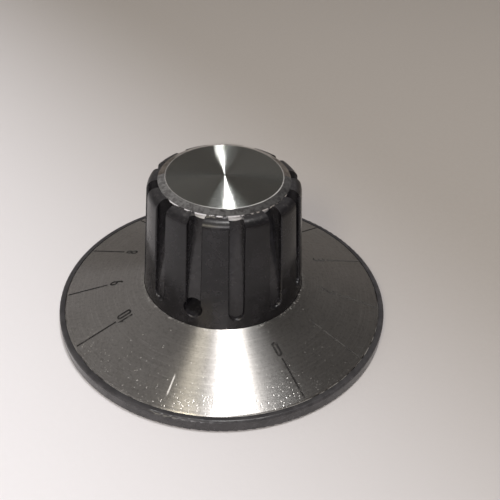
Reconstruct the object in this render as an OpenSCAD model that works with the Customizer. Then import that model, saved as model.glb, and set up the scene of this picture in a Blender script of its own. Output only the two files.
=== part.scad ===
// Instrument knob with a fluted grip and a conical dial skirt.
// The knob stands on its rim: origin at the centre of the rim's foot, +Z along the shaft axis,
// the set screw towards -Y.

/* [Skirt] */
// Diameter over the rim
skirt_d = 46; // [40:0.5:60]
// Height of the rim wall, which is also the height of the dial's outer edge
rim_h = 1.9; // [1.6:0.1:3]
// Width of the raised lip round the dial
lip_w = 0.75; // [0.5:0.05:1.5]
// Rounding of the rim's two outer edges
rim_edge_r = 0.3; // [0.1:0.05:0.45]
// Width of the foot ring under the rim
foot_w = 2; // [1.2:0.1:4]
// Wall of the flange under the dial
flange_t = 1.25; // [1:0.05:1.6]

/* [Grip] */
// Diameter of the grip where it leaves the dial
grip_base_d = 22.1; // [21:0.1:26]
// Diameter of the grip at its top, before the edge is rounded
grip_top_d = 19.64; // [19:0.02:21]
// Height of the grip's top above the foot
grip_h = 21.1; // [18:0.05:28]
// Rounding of the grip's top edge
grip_edge_r = 1.35; // [0.3:0.05:1.5]

/* [Flutes] */
// Number of flutes round the grip
flute_count = 12; // [8:1:14]
// Width of a flute between its straight walls
flute_w = 1.8; // [1:0.1:2.2]
// Depth of a flute at the grip's top
flute_top_depth = 2.65; // [1.4:0.05:2.8]
// Depth of a flute at its lower end
flute_foot_depth = 0.45; // [0.4:0.05:1]
// Radius of the arch of a flute's floor along its length
flute_arch_r = 50; // [40:5:120]
// Rounding of the edges along a flute
flute_shoulder_r = 0.4; // [0.1:0.05:0.5]
// Plain collar between the dial and the flutes' lower ends
collar_h = 1.1; // [0.5:0.1:3]

/* [Dial] */
// Rise of the dial's cone from the lip to the grip
dial_rise = 3.45; // [2:0.05:6]
// Thickness of the dial's sheet
dial_t = 0.5; // [0.3:0.05:0.8]
// Clearance round the dial, at the lip and at the grip
dial_clear = 0.05; // [0.02:0.01:0.2]
// Bevel turned on the dial's outer edge
dial_bevel = 0.15; // [0.05:0.01:0.25]

/* [Cap] */
// Diameter of the cap's flat face
cap_flat_d = 14.96; // [12:0.02:16]
// Diameter over the cap's bevelled edge
cap_d = 16.9; // [16.2:0.1:17.8]
// Height of the bevel
cap_bevel_h = 0.42; // [0.2:0.02:1]
// Height of the edge under the bevel
cap_edge_h = 0.22; // [0.1:0.02:0.5]
// Diameter of the spigot that sits in the pocket
spigot_d = 15; // [12:0.1:15.8]
// Length of the spigot
spigot_h = 1.2; // [0.6:0.1:2]
// Clearance round and under the spigot
cap_clear = 0.05; // [0.02:0.01:0.2]

/* [Bush] */
// Diameter of the shaft bore
bore_d = 6.4; // [4:0.05:8]
// Chamfer at the mouth of the bore
bore_chamfer = 0.4; // [0.1:0.1:0.8]
// Diameter of the bush
bush_d = 11; // [10:0.5:12]
// Length of the bush
bush_h = 13; // [11:0.5:15]
// Width of the groove that anchors the bush in the moulding
anchor_w = 1.6; // [0.5:0.1:2.5]
// Depth of that groove
anchor_depth = 0.5; // [0.2:0.1:0.8]
// Wall of the hub round the bush
hub_wall = 2.5; // [1.5:0.1:4]
// Step from the foot up to the end of the hub
hub_gap = 0.6; // [0.2:0.1:1.5]

/* [Set screw] */
// Diameter of the set screw
screw_d = 2.5; // [2:0.1:3]
// Length of the set screw
screw_l = 4; // [3:0.1:4.5]
// Height of the screw's axis above the dial's inner edge
screw_up = 2.75; // [2:0.05:4]
// Clearance of the screw in the bush's thread
thread_clear = 0.02; // [0.01:0.01:0.05]
// Clearance of the screw in its hole through the moulding
screw_clear = 0.06; // [0.05:0.01:0.3]
// Step from the bore back to the screw's point
screw_setback = 0.1; // [0.05:0.05:0.4]
// Width of the driver slot
slot_w = 0.45; // [0.3:0.05:0.6]
// Depth of the driver slot
slot_depth = 0.9; // [0.5:0.1:1.2]

/* [Hidden] */
$fn = 96;

// Length by which a cutter stands clear of what it cuts
over = 1;
// Height by which a flute's shoulder stands proud of the wall, so that it ends in a clean edge there
shoulder_lift = 0.03;

skirt_r = skirt_d / 2;
lip_r = skirt_r - lip_w;
foot_r = skirt_r - foot_w;
hub_r = bush_d / 2 + hub_wall;

// The dial's cone, from the grip's base circle down to the lip
grip_base_r = grip_base_d / 2;
dial_top_z = rim_h + dial_rise;
dial_slope = dial_rise / (lip_r - grip_base_r);
dial_angle = atan(dial_slope);
dial_drop = dial_t / cos(dial_angle);
flange_drop = flange_t / cos(dial_angle);

// Height of the dial's upper face, of the flange under it and of the flange's underside, at radius r
function dial_z(r) = rim_h + dial_slope * (lip_r - r);
function flange_z(r) = dial_z(r) - dial_drop;
function ceiling_z(r) = flange_z(r) - flange_drop;

// The grip's drafted wall, and the centre of its rounded top edge
draft = atan((grip_base_r - grip_top_d / 2) / (grip_h - dial_top_z));
function grip_r(z) = grip_base_r - (z - dial_top_z) * tan(draft);
grip_edge_z = grip_h - grip_edge_r;
grip_edge_x = grip_r(grip_edge_z) - grip_edge_r / cos(draft);

// A flute runs along the drafted wall from the middle of its round lower end. Its floor leans inwards
// towards the top, and is arched between its two ends.
flute_r = flute_w / 2;
shoulder_x = flute_r + flute_shoulder_r;
shoulder_y = shoulder_lift - flute_shoulder_r;
flute_z = dial_top_z + collar_h + shoulder_x;
flute_l = (grip_h - flute_z) / cos(draft);
flute_drop = flute_top_depth - flute_foot_depth;
flute_lean = atan(flute_drop / flute_l);
floor_mid = sqrt(flute_l * flute_l + flute_drop * flute_drop) / 2;
arch_x = sqrt(flute_arch_r * flute_arch_r - floor_mid * floor_mid);

pocket_z = grip_h - spigot_h - cap_clear;
bore_r = bore_d / 2;
bush_r = bush_d / 2;
anchor_z = hub_gap + bush_h / 4;
screw_z = dial_top_z + screw_up;
screw_x = bore_r + screw_setback;
screw_r = screw_d / 2;
screw_point = screw_r / 2;

// Section of the moulding on one side of the axis: rim, lip, flange and grip
module body_section() {
    difference() {
        union() {
            polygon([
                [0, 0],
                [skirt_r - rim_edge_r, 0],
                [skirt_r - rim_edge_r, rim_edge_r],
                [skirt_r, rim_edge_r],
                [skirt_r, rim_h - rim_edge_r],
                [skirt_r - rim_edge_r, rim_h - rim_edge_r],
                [skirt_r - rim_edge_r, rim_h],
                [lip_r, rim_h],
                [lip_r, flange_z(lip_r)],
                [grip_base_r, flange_z(grip_base_r)],
                [grip_base_r, dial_top_z],
                [grip_edge_x + grip_edge_r * cos(draft), grip_edge_z + grip_edge_r * sin(draft)],
                [grip_edge_x, grip_edge_z],
                [grip_edge_x, grip_h],
                [0, grip_h]
            ]);
            for (z = [rim_edge_r, rim_h - rim_edge_r])
                translate([skirt_r - rim_edge_r, z]) circle(rim_edge_r);
            translate([grip_edge_x, grip_edge_z]) circle(grip_edge_r);
        }
        polygon([
            [hub_r, -over],
            [foot_r, -over],
            [foot_r, ceiling_z(foot_r)],
            [hub_r, ceiling_z(hub_r)]
        ]);
        translate([0, -over]) square([hub_r + over, over + hub_gap]);
    }
}

// Half of a flute's cross-section: straight wall and rounded shoulder, deeper than any floor.
// X is the distance from the flute's middle plane, Y points out of the grip, from its surface.
module flute_half() {
    translate([0, -flute_top_depth - over]) square([flute_r, flute_top_depth + 2 * over]);
    difference() {
        translate([flute_r, shoulder_y]) square([flute_shoulder_r, over - shoulder_y]);
        translate([shoulder_x, shoulder_y]) circle(flute_shoulder_r);
    }
}

module both_halves() {
    children();
    mirror([1, 0]) children();
}

// One flute as a cutter, standing on its lower end with its mouth towards +Y
module flute_cutter() {
    difference() {
        union() {
            linear_extrude(flute_l + over) both_halves() flute_half();
            rotate([-90, 0, 0]) rotate_extrude(angle = 180) flute_half();
        }
        translate([0, -flute_foot_depth, 0]) rotate([flute_lean, 0, 0])
            translate([-flute_w, -arch_x, floor_mid]) rotate([0, 90, 0])
                cylinder(r = flute_arch_r, h = 2 * flute_w);
    }
}

module flute_cutters() {
    for (i = [0 : flute_count - 1])
        rotate([0, 0, 180 + i * 360 / flute_count])
            translate([0, grip_r(flute_z), flute_z]) rotate([draft, 0, 0]) flute_cutter();
}

// Section of the bush without its bore, with the groove that anchors it
module bush_section() {
    difference() {
        translate([0, hub_gap]) square([bush_r, bush_h]);
        translate([bush_r - anchor_depth, anchor_z]) square([anchor_depth + over, anchor_w]);
    }
}

// Round bar along the set screw's axis, from distance x outwards
module screw_bar(x, d, l) {
    translate([0, -x, screw_z]) rotate([90, 0, 0]) cylinder(d = d, h = l);
}

module knob_body() {
    color([0.03, 0.03, 0.035])
    difference() {
        rotate_extrude() body_section();
        flute_cutters();
        rotate_extrude() bush_section();
        translate([0, 0, pocket_z])
            cylinder(r = spigot_d / 2 + cap_clear, h = grip_h - pocket_z + over);
        screw_bar(0, screw_d + 2 * screw_clear, grip_base_r + over);
    }
}

module dial_skirt() {
    dial_in_r = grip_base_r + dial_clear;
    dial_out_r = lip_r - dial_clear;
    color([0.55, 0.54, 0.53])
    rotate_extrude()
        polygon([
            [dial_in_r, flange_z(dial_in_r)],
            [dial_out_r, flange_z(dial_out_r)],
            [dial_out_r, dial_z(dial_out_r) - dial_bevel],
            [dial_out_r - dial_bevel, dial_z(dial_out_r - dial_bevel)],
            [dial_in_r, dial_z(dial_in_r)]
        ]);
}

module top_cap() {
    color([0.62, 0.62, 0.61])
    rotate_extrude()
        polygon([
            [0, grip_h - spigot_h],
            [spigot_d / 2, grip_h - spigot_h],
            [spigot_d / 2, grip_h],
            [cap_d / 2, grip_h],
            [cap_d / 2, grip_h + cap_edge_h],
            [cap_flat_d / 2, grip_h + cap_edge_h + cap_bevel_h],
            [0, grip_h + cap_edge_h + cap_bevel_h]
        ]);
}

module shaft_bush() {
    color([0.72, 0.55, 0.25])
    difference() {
        rotate_extrude() bush_section();
        translate([0, 0, hub_gap - over]) cylinder(d = bore_d, h = bush_h + 2 * over);
        translate([0, 0, hub_gap])
            cylinder(r1 = bore_r + bore_chamfer, r2 = bore_r, h = bore_chamfer);
        screw_bar(0, screw_d + 2 * thread_clear, bush_r + over);
    }
}

module set_screw() {
    color([0.45, 0.45, 0.47])
    difference() {
        union() {
            screw_bar(screw_x + screw_point, screw_d, screw_l - screw_point);
            translate([0, -screw_x, screw_z]) rotate([90, 0, 0])
                cylinder(r1 = screw_r - screw_point, r2 = screw_r, h = screw_point);
        }
        translate([-slot_w / 2, -screw_x - screw_l - over, screw_z - screw_d])
            cube([slot_w, slot_depth + over, 2 * screw_d]);
    }
}

knob_body();
dial_skirt();
top_cap();
shaft_bush();
set_screw();
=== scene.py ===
"""Dressed model of the fluted dial knob: materials, dial print, floor, lamps and camera."""
import math

import bmesh
import bpy
from mathutils import Matrix, Vector


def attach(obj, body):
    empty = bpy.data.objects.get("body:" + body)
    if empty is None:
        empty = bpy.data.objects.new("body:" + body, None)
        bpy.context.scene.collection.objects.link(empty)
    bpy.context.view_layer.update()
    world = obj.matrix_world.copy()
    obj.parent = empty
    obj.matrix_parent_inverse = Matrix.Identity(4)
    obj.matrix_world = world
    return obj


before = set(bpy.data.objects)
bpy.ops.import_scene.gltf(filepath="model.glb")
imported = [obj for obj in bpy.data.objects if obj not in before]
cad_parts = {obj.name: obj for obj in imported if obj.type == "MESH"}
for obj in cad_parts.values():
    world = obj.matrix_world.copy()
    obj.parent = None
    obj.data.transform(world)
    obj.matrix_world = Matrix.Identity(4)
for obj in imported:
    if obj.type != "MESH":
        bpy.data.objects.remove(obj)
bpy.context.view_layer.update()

MM = 0.001

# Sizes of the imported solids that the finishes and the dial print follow, in mm
DIAL_IN_R = 11.1
LIP_IN_R = 22.25
CONE_FOOT_Z = 1.9
RIM_R = 23.0
GRIP_FOOT_R = 11.05
GRIP_FOOT_Z = 5.35
GRIP_TOP_R = 9.82
GRIP_TOP_Z = 21.1
DRIVER_HOLE_R = 1.31
DRIVER_HOLE_Z = 8.1
CAP_FACE_R = 7.48
CAP_FACE_Z = 21.74
CAP_EDGE_R = 8.45
CAP_EDGE_Z = 21.32

# The photograph's view, with azimuths from -Y towards +X
PHOTO_PX = 500
FOCAL_PX = 681.477
SENSOR_MM = 36.0
VIEW_AZ = math.radians(18.0)
VIEW_EL = math.radians(38.111)
VIEW_ROLL = math.radians(-2.412)
VIEW_DISTANCE = 99.417
VIEW_RIGHT = 3.597
VIEW_UP = 7.732

# Wear, and the dents that also carry painted glints, in mm from the axis or over the surface
SPECKS_PER_MM = 3.3
SPECKS_FROM_R = 14.0
SPECKS_FULL_R = 21.6
DENTS_PER_MM = 2.9
DENTS_FROM_R = 18.6
DENTS_FULL_R = 21.0
SCRATCH_AZ = math.radians(1.8)
SCRATCH_FROM_R = 17.6
SCRATCH_TO_R = 20.7
SCRATCH_TAPER = 0.6
GRIP_DUST_FROM_R = 12.0
GRIP_DUST_FULL_R = 10.5

# Turned grooves of the cap's face
GROOVES_PER_MM = 23.7
GROOVE_SLOPE = 0.58
GROOVE_STRAY = 0.09
GROOVE_STRAY_PITCHES = (2.61, 4.17)
COARSE_LINES_PER_MM = 17.2
QUARTER_TURN = 0.25

# Colours of the dial and the cap
DIAL_DULL = (0.45, 0.43, 0.41)
DIAL_CLEAN = (0.56, 0.54, 0.52)
DIAL_RING = (0.72, 0.70, 0.68)
DIAL_GRIME = (0.24, 0.225, 0.215)
DIAL_DENT_GLINT = (0.86, 0.85, 0.82)
DIAL_SCRATCH = (0.92, 0.91, 0.88)
DIAL_DUST_AND_GLINT = (0.78, 0.76, 0.72)
CAP_DULL = (0.29, 0.30, 0.285)
CAP_CLEAN = (0.36, 0.37, 0.355)
CAP_BEVEL = (0.78, 0.77, 0.77)
CAP_STAIN = (0.26, 0.25, 0.25)
CAP_ARRIS_HIGHLIGHT = (0.90, 0.89, 0.88)
CAP_SPIGOT_PAINTED_BRIGHT = (0.93, 0.92, 0.91)
CAP_GRIT = (0.80, 0.79, 0.77)

# Colours of the moulding, the small metal parts, the ink and the floor
BLACK_DEEP = (0.007, 0.0065, 0.0075)
BLACK_HANDLED = (0.014, 0.013, 0.015)
BLACK_SCRATCHED = (0.075, 0.072, 0.075)
BLACK_DULLED = (0.072, 0.069, 0.073)
GRIP_DUST = (0.32, 0.31, 0.30)
BRASS = (0.72, 0.55, 0.25)
BRASS_TARNISH = (0.46, 0.33, 0.15)
STEEL = (0.45, 0.45, 0.47)
STEEL_RUST = (0.20, 0.12, 0.08)
INK = (0.020, 0.019, 0.019)
INK_RUBBED = (0.100, 0.096, 0.092)
PAPER_PALE = (0.93, 0.915, 0.96)
# Painted shade: the darker paper colour stands in for the light falling off to the right and away
PAPER_SHADE = (0.33, 0.30, 0.275)
PAPER_FLECK = (0.62, 0.60, 0.59)


def heading(azimuth):
    """Level direction at an azimuth from -Y towards +X."""
    return Vector((math.sin(azimuth), -math.cos(azimuth), 0.0))


# Camera, with level as the direction on the floor towards it
level = heading(VIEW_AZ)
back = level * math.cos(VIEW_EL) + Vector((0.0, 0.0, math.sin(VIEW_EL)))
right = Vector((math.cos(VIEW_AZ), math.sin(VIEW_AZ), 0.0))
up = back.cross(right)
cam_x = right * math.cos(VIEW_ROLL) - up * math.sin(VIEW_ROLL)
cam_y = right * math.sin(VIEW_ROLL) + up * math.cos(VIEW_ROLL)
cam_at = (back * VIEW_DISTANCE + right * VIEW_RIGHT + up * VIEW_UP) * MM

camera_data = bpy.data.cameras.new("camera")
camera_data.sensor_width = SENSOR_MM
camera_data.lens = FOCAL_PX * SENSOR_MM / PHOTO_PX
camera_data.clip_start = 0.005
camera_data.clip_end = 10.0
camera = bpy.data.objects.new("camera", camera_data)
camera.matrix_world = Matrix.Translation(cam_at) @ Matrix((cam_x, cam_y, back)).transposed().to_4x4()
bpy.context.collection.objects.link(camera)
bpy.context.scene.camera = camera

# Level directions: painted shade darkens the floor's colour to the right and away, and the painted
# highlight on the cap's face edge is strongest at the front right
FLOOR_SHADE_TOWARDS = (right * 0.80 - level * 0.60).normalized()
CAP_HIGHLIGHT_SIDE = (right * 0.60 + level * 0.80).normalized()


class Finish:
    """One material and short calls for its node tree. Lengths in its coordinates are mm."""

    def __init__(self, name):
        self.material = bpy.data.materials.new(name)
        self.material.use_nodes = True
        self.tree = self.material.node_tree
        self.shader = self.tree.nodes["Principled BSDF"]
        where = self.add("ShaderNodeTexCoord").outputs["Object"]
        self.place = self.vector("SCALE", where, scale=1.0 / MM)
        self.x, self.y, self.z = self.split(self.place)
        self.radius = self.vector("LENGTH", self.join(self.x, self.y, 0.0))
        self.turn = self.math("ARCTAN2", self.x, self.times(self.y, -1.0))

    def add(self, kind):
        return self.tree.nodes.new(kind)

    def put(self, socket, value):
        if isinstance(value, bpy.types.NodeSocket):
            self.tree.links.new(value, socket)
        else:
            socket.default_value = value

    def math(self, operation, first, second=0.0):
        node = self.add("ShaderNodeMath")
        node.operation = operation
        self.put(node.inputs[0], first)
        self.put(node.inputs[1], second)
        return node.outputs[0]

    def fold(self, operation, values):
        """One operation taken over all the values in turn."""
        result = values[0]
        for value in values[1:]:
            result = self.math(operation, result, value)
        return result

    def times(self, *values):
        return self.fold("MULTIPLY", values)

    def plus(self, *values):
        return self.fold("ADD", values)

    def most(self, *values):
        return self.fold("MAXIMUM", values)

    def minus(self, first, second):
        return self.math("SUBTRACT", first, second)

    def vector(self, operation, first, second=(0.0, 0.0, 0.0), scale=1.0):
        node = self.add("ShaderNodeVectorMath")
        node.operation = operation
        self.put(node.inputs[0], first)
        if operation == "SCALE":
            self.put(node.inputs["Scale"], scale)
        if operation in ("ADD", "MULTIPLY"):
            self.put(node.inputs[1], second)
        return node.outputs["Value"] if operation == "LENGTH" else node.outputs["Vector"]

    def join(self, x, y, z):
        node = self.add("ShaderNodeCombineXYZ")
        for socket, value in zip(node.inputs, (x, y, z)):
            self.put(socket, value)
        return node.outputs[0]

    def split(self, vector):
        node = self.add("ShaderNodeSeparateXYZ")
        self.put(node.inputs[0], vector)
        return node.outputs

    def along(self, direction):
        """Distance from the axis along a level direction."""
        return self.plus(self.times(self.x, direction.x), self.times(self.y, direction.y))

    def round_axis(self, per_radian, per_mm, per_height=0.0):
        """Coordinates for noise that runs in rings round the Z axis."""
        rising = self.times(self.z, per_height)
        return self.join(self.times(self.turn, per_radian), self.times(self.radius, per_mm), rising)

    def noise(self, where, scale=1.0, detail=2.0, roughness=0.5):
        node = self.add("ShaderNodeTexNoise")
        self.put(node.inputs["Vector"], where)
        self.put(node.inputs["Scale"], scale)
        self.put(node.inputs["Detail"], detail)
        self.put(node.inputs["Roughness"], roughness)
        return node.outputs["Fac"]

    def cells(self, scale):
        """Distance from the middle of each scattered cell, and three chance numbers for that cell."""
        node = self.add("ShaderNodeTexVoronoi")
        self.put(node.inputs["Vector"], self.place)
        self.put(node.inputs["Scale"], scale)
        return node.outputs["Distance"], self.split(node.outputs["Color"])

    def between(self, value, low, high, start=0.0, end=1.0):
        """Smooth step of value from low to high, given out as start to end."""
        node = self.add("ShaderNodeMapRange")
        node.interpolation_type = "SMOOTHSTEP"
        for socket, number in zip(node.inputs[:5], (value, low, high, start, end)):
            self.put(socket, number)
        return node.outputs[0]

    def mix(self, mask, first, second, full=1.0):
        """Colour from first to second, where a mask of 1 gives the full share of second."""
        node = self.add("ShaderNodeMix")
        node.data_type = "RGBA"
        self.put(node.inputs["Factor"], self.times(mask, full))
        for socket, value in zip((node.inputs[6], node.inputs[7]), (first, second)):
            self.put(socket, value if isinstance(value, bpy.types.NodeSocket) else (*value, 1.0))
        return node.outputs[2]

    def blend(self, share, first, second):
        """Number from first to second."""
        node = self.add("ShaderNodeMix")
        for socket, value in zip(node.inputs[:3], (share, first, second)):
            self.put(socket, value)
        return node.outputs[0]

    def set(self, **values):
        for name, value in values.items():
            self.put(self.shader.inputs[name.replace("_", " ")], value)

    def bump(self, height, depth_mm, strength):
        node = self.add("ShaderNodeBump")
        node.inputs["Strength"].default_value = strength
        node.inputs["Distance"].default_value = depth_mm * MM
        self.put(node.inputs["Height"], height)
        self.put(self.shader.inputs["Normal"], node.outputs["Normal"])

    def spun(self, anisotropy):
        """Highlights stretched across lines that run round the Z axis."""
        tangent = self.add("ShaderNodeTangent")
        tangent.direction_type = "RADIAL"
        tangent.axis = "Z"
        self.shader.inputs["Anisotropic"].default_value = anisotropy
        self.shader.inputs["Anisotropic Rotation"].default_value = QUARTER_TURN
        self.put(self.shader.inputs["Tangent"], tangent.outputs[0])

    def grooves(self, slope, stray, rise):
        """Fine turned grooves round the Z axis: normals that lean in, out and a little aside."""
        lean = self.times(self.math("SINE", self.times(self.radius, 2.0 * math.pi * GROOVES_PER_MM)), slope)
        strays = []
        for pitch in GROOVE_STRAY_PITCHES:
            strays.append(self.math("FRACT", self.times(self.radius, pitch * GROOVES_PER_MM)))
        sideways = self.times(self.minus(self.plus(*strays), 1.0), stray)
        outward = self.vector("NORMALIZE", self.join(self.x, self.y, 0.0))
        aside = self.vector("NORMALIZE", self.join(self.times(self.y, -1.0), self.x, 0.0))
        normal = self.add("ShaderNodeNewGeometry").outputs["Normal"]
        normal = self.vector("ADD", normal, self.vector("SCALE", outward, scale=lean))
        normal = self.vector("ADD", normal, self.vector("SCALE", aside, scale=sideways))
        normal = self.vector("ADD", normal, self.join(0.0, 0.0, rise))
        self.put(self.shader.inputs["Normal"], self.vector("NORMALIZE", normal))


def dial_finish():
    """Spun aluminium with fine rings, grime, specks and dents towards the rim, one long scratch, dents
    painted lighter as glints and a painted glint line at the cut edge.
    """
    m = Finish("spun_aluminium_dial")
    rings = m.noise(m.round_axis(2.0, 4.5), detail=3.0, roughness=0.7)
    haze = m.noise(m.place, scale=0.22, detail=3.0, roughness=0.6)
    grime = m.between(m.noise(m.place, scale=2.6, detail=3.0, roughness=0.7), 0.45, 0.70)
    rightward = m.along(right)

    near_rim = m.between(m.radius, SPECKS_FROM_R, SPECKS_FULL_R)
    speck_distance, speck_chance = m.cells(SPECKS_PER_MM)
    specks = m.times(
        m.math("GREATER_THAN", speck_chance[0], m.between(near_rim, 0.0, 1.0, start=0.97, end=0.72)),
        m.between(speck_distance, 0.27, 0.14),
        m.between(m.noise(m.place, scale=0.35), 0.30, 0.50),
        m.between(rightward, 6.0, 16.0, start=1.0, end=0.4),
    )
    crumbs = m.times(
        m.between(m.radius, DIAL_IN_R + 0.55, DIAL_IN_R + 0.15),
        m.between(m.noise(m.place, scale=3.2), 0.56, 0.64),
    )
    # Painted highlight: a thin pale, matte line at the dial's cut edge stands in for the edge glinting, and
    # is mixed in with the real dust
    painted_edge_glint = m.times(
        m.between(m.radius, LIP_IN_R - 0.16, LIP_IN_R - 0.08),
        m.between(m.noise(m.place, scale=0.8, detail=3.0, roughness=0.6), 0.38, 0.58),
    )
    dust_and_glint = m.most(m.times(specks, 0.5), m.times(crumbs, 0.35), m.times(painted_edge_glint, 0.5))

    # Dents are hollows in the bump and are also painted lighter metal as glints, fewer to the right of the
    # view
    dent_distance, dent_chance = m.cells(DENTS_PER_MM)
    dents_and_glints = m.times(
        m.between(dent_distance, 0.34, 0.12),
        m.math("GREATER_THAN", dent_chance[1], 0.45),
        m.between(m.radius, DENTS_FROM_R, DENTS_FULL_R),
        m.between(m.noise(m.place, scale=0.5), 0.31, 0.47),
        m.between(rightward, 8.0, 17.0, start=1.0, end=0.25),
    )

    off_scratch = m.times(m.math("ABSOLUTE", m.minus(m.turn, SCRATCH_AZ)), m.radius)
    scratch = m.times(
        m.between(off_scratch, 0.14, 0.05),
        m.between(m.radius, SCRATCH_FROM_R, SCRATCH_FROM_R + SCRATCH_TAPER),
        m.between(m.radius, SCRATCH_TO_R, SCRATCH_TO_R - SCRATCH_TAPER),
    )

    metal = m.mix(haze, DIAL_DULL, DIAL_CLEAN)
    metal = m.mix(m.between(rings, 0.45, 0.75), metal, DIAL_RING, full=0.5)
    metal = m.mix(grime, metal, DIAL_GRIME, full=0.35)
    metal = m.mix(dents_and_glints, metal, DIAL_DENT_GLINT, full=0.22)
    metal = m.mix(scratch, metal, DIAL_SCRATCH, full=0.8)
    m.set(
        Base_Color=m.mix(dust_and_glint, metal, DIAL_DUST_AND_GLINT),
        Metallic=m.minus(1.0, m.most(dust_and_glint, m.times(scratch, 0.7))),
        Roughness=m.most(
            m.plus(m.between(rings, 0.3, 0.7, start=0.28, end=0.34), m.times(haze, 0.06)),
            m.times(dust_and_glint, 0.8),
            m.times(scratch, 0.6),
        ),
    )
    m.spun(anisotropy=0.97)
    relief = m.minus(m.plus(m.times(rings, 0.04), dust_and_glint), m.times(dents_and_glints, 0.8))
    m.bump(relief, depth_mm=0.02, strength=0.6)
    return m.material


def cap_finish():
    """Face-turned aluminium, finer than the dial, with a stained bevel, a rubbed outer edge, a painted
    highlight along the face's edge and a spigot painted bright.
    """
    m = Finish("turned_aluminium_cap")
    rings = m.noise(m.round_axis(1.2, 6.0), roughness=0.6)
    haze = m.noise(m.place, scale=0.45, detail=3.0, roughness=0.6)
    grit = m.between(m.noise(m.place, scale=5.5, roughness=0.7), 0.64, 0.74)
    coarse = m.math("FRACT", m.times(m.radius, COARSE_LINES_PER_MM))

    below_face = m.between(m.z, CAP_FACE_Z - 0.02, CAP_FACE_Z - 0.06)
    # Painted highlight: the spigot below the grip's top is painted near-white and mostly non-metallic so it
    # shows bright where the flutes break through
    painted_bright_spigot = m.between(m.z, GRIP_TOP_Z + 0.03, GRIP_TOP_Z - 0.03)
    stain = m.times(
        below_face,
        m.between(m.z, CAP_EDGE_Z - 0.03, CAP_EDGE_Z + 0.03),
        m.between(m.noise(m.place, scale=1.6, detail=3.0, roughness=0.7), 0.40, 0.65),
    )
    # Painted highlight: a thin pale ring at the face's edge stands in for a rounded arris catching the
    # light, paler and non-metallic at the front right
    face_arris_highlight = m.between(m.math("ABSOLUTE", m.minus(m.radius, CAP_FACE_R)), 0.09, 0.04)
    arris_highlight_front_right = m.times(
        face_arris_highlight,
        m.between(m.along(CAP_HIGHLIGHT_SIDE), 1.0, 7.5, start=0.05, end=0.5),
        m.between(m.noise(m.place, scale=0.9, detail=3.0, roughness=0.6), 0.35, 0.60, start=0.6, end=1.0),
    )
    rubbed_edge = m.times(
        m.between(m.z, CAP_EDGE_Z + 0.01, CAP_EDGE_Z - 0.01),
        m.between(m.radius, CAP_EDGE_R - 0.25, CAP_EDGE_R - 0.05),
        m.between(m.noise(m.place, scale=1.3, detail=3.0, roughness=0.7), 0.38, 0.58),
    )

    metal = m.mix(haze, CAP_DULL, CAP_CLEAN)
    metal = m.mix(below_face, metal, CAP_BEVEL, full=0.8)
    metal = m.mix(stain, metal, CAP_STAIN, full=0.7)
    metal = m.mix(face_arris_highlight, metal, CAP_ARRIS_HIGHLIGHT, full=0.9)
    metal = m.mix(painted_bright_spigot, metal, CAP_SPIGOT_PAINTED_BRIGHT)
    turned = m.plus(
        m.between(rings, 0.3, 0.7, start=0.20, end=0.24),
        m.times(grit, 0.12),
        m.times(coarse, coarse, 0.42),
    )
    turned = m.most(turned, m.times(face_arris_highlight, 0.6))
    polished = m.plus(m.times(stain, 0.05), m.times(painted_bright_spigot, 0.20), 0.05)
    m.set(
        Base_Color=m.mix(grit, metal, CAP_GRIT, full=0.2),
        Metallic=m.minus(1.0, m.most(m.times(painted_bright_spigot, 0.88), arris_highlight_front_right)),
        Roughness=m.blend(below_face, turned, polished),
    )
    m.spun(anisotropy=1.0)
    slope = m.between(below_face, 0.0, 1.0, start=GROOVE_SLOPE, end=0.0)
    m.grooves(slope, m.times(slope, GROOVE_STRAY), m.times(rubbed_edge, 0.28))
    return m.material


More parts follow.
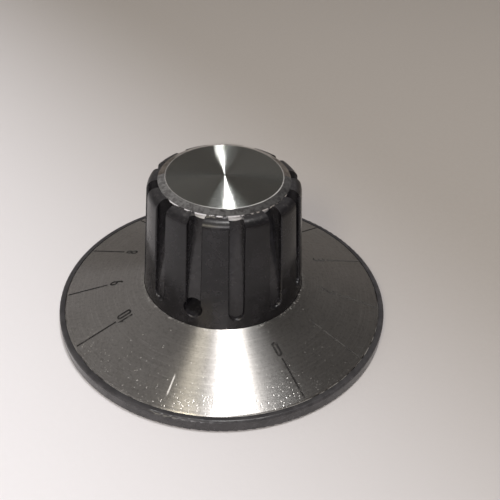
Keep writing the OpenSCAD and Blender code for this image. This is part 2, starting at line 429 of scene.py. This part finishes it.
def moulding_finish():
    """Glossy black moulding with hairlines, a slight ripple, dulled flutes and rim and a little dust."""
    m = Finish("black_moulding_gloss")
    ripple = m.noise(m.place, scale=0.35)
    fine = m.noise(m.place, scale=9.0, roughness=0.6)
    handled = m.between(m.noise(m.place, scale=0.6, detail=3.0, roughness=0.6), 0.35, 0.75)
    facing_up = m.split(m.add("ShaderNodeNewGeometry").outputs["Normal"])[2]

    tilted = m.add("ShaderNodeVectorRotate")
    tilted.rotation_type = "EULER_XYZ"
    tilted.inputs["Rotation"].default_value = (0.5, 0.9, 0.3)
    m.put(tilted.inputs["Vector"], m.place)
    stretched = m.vector("MULTIPLY", tilted.outputs[0], (0.5, 14.0, 9.0))
    hairlines = m.between(m.noise(stretched, detail=1.0), 0.72, 0.78)

    settled = m.times(
        m.between(facing_up, 0.35, 0.95),
        m.between(m.radius, GRIP_DUST_FROM_R, GRIP_DUST_FULL_R),
        m.between(m.noise(m.place, scale=2.4, detail=3.0, roughness=0.65), 0.52, 0.70),
    )
    wall = m.between(m.z, GRIP_FOOT_Z, GRIP_TOP_Z, start=GRIP_FOOT_R, end=GRIP_TOP_R)
    off_hole = m.vector("LENGTH", m.join(m.x, 0.0, m.minus(m.z, DRIVER_HOLE_Z)))
    in_flute = m.times(
        m.between(m.minus(wall, m.radius), 0.25, 0.8),
        m.between(m.z, GRIP_FOOT_Z, GRIP_FOOT_Z + 1.0),
        m.between(m.noise(m.place, scale=1.4, detail=3.0, roughness=0.6), 0.25, 0.65, start=0.5),
        m.between(off_hole, DRIVER_HOLE_R - 0.06, DRIVER_HOLE_R + 0.04),
    )
    on_rim = m.times(
        m.between(m.radius, LIP_IN_R + 0.05, RIM_R - 0.02, start=0.7),
        m.math("GREATER_THAN", m.radius, LIP_IN_R - 0.05),
        m.between(m.noise(m.place, scale=0.7), 0.3, 0.7, start=0.6),
    )
    dulled = m.most(m.times(in_flute, 0.3), m.times(on_rim, 0.8))

    black = m.mix(handled, BLACK_DEEP, BLACK_HANDLED)
    black = m.mix(hairlines, black, BLACK_SCRATCHED, full=0.5)
    black = m.mix(dulled, black, BLACK_DULLED)
    m.set(
        Base_Color=m.mix(settled, black, GRIP_DUST, full=0.12),
        Metallic=0.0,
        Roughness=m.most(
            m.between(handled, 0.0, 1.0, start=0.20, end=0.30),
            m.between(facing_up, 0.1, 0.6, end=0.32),
            m.times(hairlines, 0.4),
        ),
        IOR=1.40,
    )
    m.bump(m.plus(ripple, m.times(fine, 0.04)), depth_mm=0.03, strength=0.5)
    return m.material


def brass_finish():
    """Turned brass, a little tarnished, with fine rings."""
    m = Finish("turned_brass")
    rings = m.noise(m.round_axis(1.5, 8.0, per_height=6.0))
    tarnish = m.between(m.noise(m.place, scale=0.6, detail=3.0, roughness=0.6), 0.40, 0.70)
    m.set(
        Base_Color=m.mix(tarnish, BRASS, BRASS_TARNISH),
        Metallic=1.0,
        Roughness=m.plus(m.between(rings, 0.3, 0.7, start=0.22, end=0.34), m.times(tarnish, 0.15)),
    )
    m.spun(anisotropy=0.6)
    m.bump(rings, depth_mm=0.01, strength=0.5)
    return m.material


def screw_finish():
    """Dull steel grub screw with cut marks and a trace of rust."""
    m = Finish("plain_screw_steel")
    cut = m.noise(m.vector("MULTIPLY", m.place, (3.0, 0.6, 8.0)))
    rust = m.between(m.noise(m.place, scale=1.8, detail=3.0, roughness=0.65), 0.56, 0.70)
    m.set(
        Base_Color=m.mix(rust, STEEL, STEEL_RUST),
        Metallic=m.between(rust, 0.0, 1.0, start=1.0, end=0.5),
        Roughness=m.plus(m.between(cut, 0.3, 0.7, start=0.30, end=0.42), m.times(rust, 0.25)),
    )
    m.bump(cut, depth_mm=0.01, strength=0.6)
    return m.material


def ink_finish():
    """Black printing ink, thinned in places by rubbing and most on the right of the view."""
    m = Finish("dial_ink")
    thinned = m.between(m.noise(m.place, scale=2.2, detail=3.0, roughness=0.7), 0.50, 0.72)
    worn_side = m.times(
        m.between(m.turn, 0.95, 1.25),
        m.between(m.turn, 2.6, 2.2),
        m.between(m.noise(m.place, scale=1.1), 0.3, 0.6, start=0.4),
    )
    rubbed = m.most(thinned, worn_side)
    m.set(
        Base_Color=m.mix(rubbed, INK, INK_RUBBED, full=0.6),
        Metallic=0.0,
        Roughness=m.between(rubbed, 0.0, 1.0, start=0.70, end=0.80),
        Specular_IOR_Level=0.15,
    )
    m.bump(rubbed, depth_mm=0.004, strength=0.5)
    return m.material


def floor_finish():
    """Pale paper with a faint grain, and painted shade that darkens it to the right of the knob and behind
    it.
    """
    m = Finish("pale_paper")
    grain = m.noise(m.place, scale=1.3, detail=3.0, roughness=0.6)
    # Painted shade: the paper darkens along this direction in place of real light falloff
    painted_falloff = m.between(m.along(FLOOR_SHADE_TOWARDS), -60.0, 52.0)
    paper = m.mix(painted_falloff, PAPER_PALE, PAPER_SHADE)
    m.set(
        Base_Color=m.mix(grain, paper, PAPER_FLECK, full=0.08),
        Roughness=0.85,
    )
    m.bump(grain, depth_mm=0.05, strength=0.3)
    return m.material


FINISHES = {
    "knob_body": moulding_finish(),
    "dial_skirt": dial_finish(),
    "top_cap": cap_finish(),
    "shaft_bush": brass_finish(),
    "set_screw": screw_finish(),
}
for node_name, material in FINISHES.items():
    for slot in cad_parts[node_name].material_slots:
        slot.material = material


# Dial print: a strip of ink for each graduation and each stroke of a number
CONE_RUN = LIP_IN_R - GRIP_FOOT_R
CONE_DROP = GRIP_FOOT_Z - CONE_FOOT_Z
CONE_LENGTH = math.hypot(CONE_RUN, CONE_DROP)
INK_TOP = 0.015
INK_FOOT = -0.010
MITRE_LIMIT = 0.35
FIRST_MARK = math.radians(48.3)
MARK_STEP = math.radians(27.25)
MARK_COUNT = 11
LINE_FROM_R = 16.3
LINE_TO_R = 21.9
LINE_W = 0.23
DIGIT_R = 14.95
DIGIT_HALF_H = 0.86
DIGIT_HALF_W = 0.27
DIGIT_STROKE = 0.28
DIGIT_PITCH = 0.76


def on_dial(azimuth, radius, across, outward, height):
    """Point on the dial's cone, from a label's place and its own flat coordinates, in metres."""
    r = radius + outward
    turned = heading(azimuth - across / r)
    z = GRIP_FOOT_Z - (r - GRIP_FOOT_R) * CONE_DROP / CONE_RUN
    lifted_r = r + height * CONE_DROP / CONE_LENGTH
    lifted_z = z + height * CONE_RUN / CONE_LENGTH
    return (turned * lifted_r + Vector((0.0, 0.0, lifted_z))) * MM


def ink_strip(mesh, points, closed, width, azimuth, radius):
    """Closed thin strip along a flat path, mitred at its corners and bent onto the dial."""
    path = [Vector(point) for point in points]
    count = len(path)
    rings = []
    for index, point in enumerate(path):
        before = path[index - 1] if closed or index > 0 else None
        after = path[(index + 1) % count] if closed or index < count - 1 else None
        into = (point - before).normalized() if before is not None else (after - point).normalized()
        out = (after - point).normalized() if after is not None else into
        side = (Vector((-into.y, into.x)) + Vector((-out.y, out.x))).normalized()
        reach = 0.5 * width / max(MITRE_LIMIT, side.dot(Vector((-into.y, into.x))))
        ring = []
        for sign, height in ((1, INK_TOP), (-1, INK_TOP), (-1, INK_FOOT), (1, INK_FOOT)):
            spot = point + side * (reach * sign)
            ring.append(mesh.verts.new(on_dial(azimuth, radius, spot.x, spot.y, height)))
        rings.append(ring)
    spans = range(count) if closed else range(count - 1)
    for index in spans:
        here = rings[index]
        there = rings[(index + 1) % count]
        for corner in range(4):
            following = (corner + 1) % 4
            mesh.faces.new((here[corner], here[following], there[following], there[corner]))
    if not closed:
        mesh.faces.new(rings[0][::-1])
        mesh.faces.new(rings[-1])


def arc(x, y, half_w, half_h, start, end, steps=14):
    """Points of an elliptical arc, with angles in degrees."""
    points = []
    for step in range(steps + 1):
        angle = math.radians(start + (end - start) * step / steps)
        points.append((x + half_w * math.cos(angle), y + half_h * math.sin(angle)))
    return points


def rounded_loop(half_w, half_h, corner):
    """Closed loop with straight sides and round ends."""
    loop = []
    for x_sign, y_sign, start in ((1, 1, 0), (-1, 1, 90), (-1, -1, 180), (1, -1, 270)):
        x = x_sign * (half_w - corner)
        y = y_sign * (half_h - corner)
        loop += arc(x, y, corner, corner, start, start + 90, 6)
    return loop


def digit_strokes(digit):
    """Strokes of one plain digit, as pairs of a path and whether it is closed."""
    w = DIGIT_HALF_W
    h = DIGIT_HALF_H
    bowl = 0.5 * h
    half = 0.5 * DIGIT_STROKE
    flag = [(0.9 * w, h), (-0.8 * w, h), (-0.85 * w, 0.1 * h)]
    six = [(0.7 * w, h), (-0.1 * w, 0.72 * h)] + arc(0, -bowl, w, bowl, 160, 505, 26)
    strokes = {
        "0": [(rounded_loop(w, h, 0.9 * w), True)],
        "1": [([(-0.6 * w, 0.68 * h), (0.0, h), (0.0, -h)], False)],
        "2": [(arc(0, bowl, w, bowl, 165, -25) + [(-w, -h), (w, -h)], False)],
        "3": [(arc(0, bowl, 0.9 * w, bowl, 150, -75) + arc(0, -bowl, w, bowl, 75, -150), False)],
        "4": [
            ([(0.4 * w, -h), (0.4 * w, h), (-w, -0.35 * h), (0.4 * w - half, -0.35 * h)], False),
            ([(0.4 * w + half, -0.35 * h), (1.1 * w, -0.35 * h)], False),
        ],
        "5": [(flag + arc(0, -0.4 * h, w, 0.6 * h, 125, -145), False)],
        "6": [(six, False)],
        "7": [([(-w, h), (w, h), (-0.2 * w, -h)], False)],
        "8": [
            (arc(0, 0.52 * h, 0.85 * w, 0.48 * h, 0, 345, 23), True),
            (arc(0, -0.48 * h, w, 0.52 * h, 0, 345, 23), True),
        ],
        "9": [([(-x, -y) for x, y in six], False)],
    }
    return strokes[digit]


ink_mesh = bmesh.new()
for mark in range(MARK_COUNT):
    mark_az = FIRST_MARK + mark * MARK_STEP
    ink_strip(ink_mesh, [(0.0, 0.0), (0.0, LINE_TO_R - LINE_FROM_R)], False, LINE_W, mark_az, LINE_FROM_R)
    label = str(mark)
    for place, digit in enumerate(label):
        shift = (place - 0.5 * (len(label) - 1)) * DIGIT_PITCH
        for path, closed in digit_strokes(digit):
            moved = [(x + shift, y) for x, y in path]
            ink_strip(ink_mesh, moved, closed, DIGIT_STROKE, mark_az, DIGIT_R)
bmesh.ops.recalc_face_normals(ink_mesh, faces=ink_mesh.faces)
ink_data = bpy.data.meshes.new("dial_print")
ink_mesh.to_mesh(ink_data)
ink_mesh.free()
ink_data.materials.append(ink_finish())
dial_print = bpy.data.objects.new("dial_print", ink_data)
bpy.context.collection.objects.link(dial_print)
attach(dial_print, "root")


# Floor: a pale sheet that curves up far from the knob
FLOOR_FLAT_RADII = (40.0, 120.0, 300.0, 620.0)
FLOOR_CURVE_R = 200.0
FLOOR_CURVE_STEPS = 12
FLOOR_WALL_H = 60.0
FLOOR_STEPS = 96

curve_from = FLOOR_FLAT_RADII[-1]
profile = [(r, 0.0) for r in FLOOR_FLAT_RADII]
for step in range(1, FLOOR_CURVE_STEPS + 1):
    angle = math.radians(90.0 * step / FLOOR_CURVE_STEPS)
    profile.append((curve_from + FLOOR_CURVE_R * math.sin(angle), FLOOR_CURVE_R * (1 - math.cos(angle))))
profile.append((curve_from + FLOOR_CURVE_R, FLOOR_CURVE_R + FLOOR_WALL_H))
floor_mesh = bmesh.new()
centre = floor_mesh.verts.new((0.0, 0.0, 0.0))
circles = []
for r, z in profile:
    circle = []
    for step in range(FLOOR_STEPS):
        spot = heading(2 * math.pi * step / FLOOR_STEPS) * r + Vector((0.0, 0.0, z))
        circle.append(floor_mesh.verts.new(spot * MM))
    circles.append(circle)
for step in range(FLOOR_STEPS):
    following = (step + 1) % FLOOR_STEPS
    floor_mesh.faces.new((centre, circles[0][step], circles[0][following]))
    for inner, outer in zip(circles, circles[1:]):
        floor_mesh.faces.new((inner[step], outer[step], outer[following], inner[following]))
for face in floor_mesh.faces:
    face.smooth = True
floor_data = bpy.data.meshes.new("floor")
floor_mesh.to_mesh(floor_data)
floor_mesh.free()
floor_data.materials.append(floor_finish())
floor = bpy.data.objects.new("floor", floor_data)
bpy.context.collection.objects.link(floor)


# Lamps, placed in mm to the right of the axis, towards the camera and up
COOL = (0.97, 0.99, 1.0)
WARM = (1.0, 0.98, 0.96)
ROSY = (1.0, 0.97, 1.0)
AMBER = (1.0, 0.91, 0.70)


def seen_from_camera(side, near, height):
    """Point from its distances to the right, towards the camera and up."""
    return right * side + level * near + Vector((0.0, 0.0, height))


def lamp(name, at, size, watts, colour, target=None):
    """Rectangular area lamp that faces straight down or towards a target."""
    data = bpy.data.lights.new(name, "AREA")
    data.shape = "RECTANGLE"
    data.size = size[0] * MM
    data.size_y = size[1] * MM
    data.energy = watts
    data.color = colour
    thing = bpy.data.objects.new(name, data)
    spot = seen_from_camera(*at)
    thing.location = spot * MM
    if target is None:
        thing.rotation_euler = (0.0, 0.0, VIEW_AZ)
    else:
        aim = seen_from_camera(*target) - spot
        thing.rotation_euler = aim.to_track_quat("-Z", "Y").to_euler()
    bpy.context.collection.objects.link(thing)


lamp("overhead", at=(36.0, 20.0, 440.0), size=(60.0, 80.0), watts=0.85, colour=WARM)
lamp("overhead_mid", at=(40.0, 20.0, 441.0), size=(150.0, 80.0), watts=0.085, colour=COOL)
lamp("overhead_wide", at=(44.0, 20.0, 442.0), size=(300.0, 80.0), watts=0.13, colour=COOL)
lamp(
    "fill",
    at=(0.0, 885.0, 775.0),
    size=(240.0, 162.0),
    watts=3.96,
    colour=ROSY,
    target=(0.0, 0.0, 10.0),
)
lamp(
    "fill_left",
    at=(-338.0, 832.5, 803.0),
    size=(240.0, 240.0),
    watts=3.60,
    colour=AMBER,
    target=(-20.0, 0.0, 5.0),
)

# Room light, brighter on the left of the view than on the right
ROOM_COLOUR = (1.0, 0.96, 0.93, 1.0)
ROOM_ON_RIGHT = 0.02
ROOM_ON_LEFT = 0.32

world = bpy.data.worlds.new("room")
world.use_nodes = True
sky_nodes = world.node_tree.nodes
sky_links = world.node_tree.links
sky = sky_nodes["Background"]
look = sky_nodes.new("ShaderNodeTexCoord")
leftward = sky_nodes.new("ShaderNodeVectorMath")
leftward.operation = "DOT_PRODUCT"
leftward.inputs[1].default_value = -right
sky_links.new(look.outputs["Generated"], leftward.inputs[0])
strength = sky_nodes.new("ShaderNodeMapRange")
strength.inputs["From Min"].default_value = -1.0
strength.inputs["From Max"].default_value = 1.0
strength.inputs["To Min"].default_value = ROOM_ON_RIGHT
strength.inputs["To Max"].default_value = ROOM_ON_LEFT
sky_links.new(leftward.outputs["Value"], strength.inputs["Value"])
sky_links.new(strength.outputs["Result"], sky.inputs["Strength"])
sky.inputs["Color"].default_value = ROOM_COLOUR
bpy.context.scene.world = world

bpy.context.scene.view_settings.view_transform = "Standard"
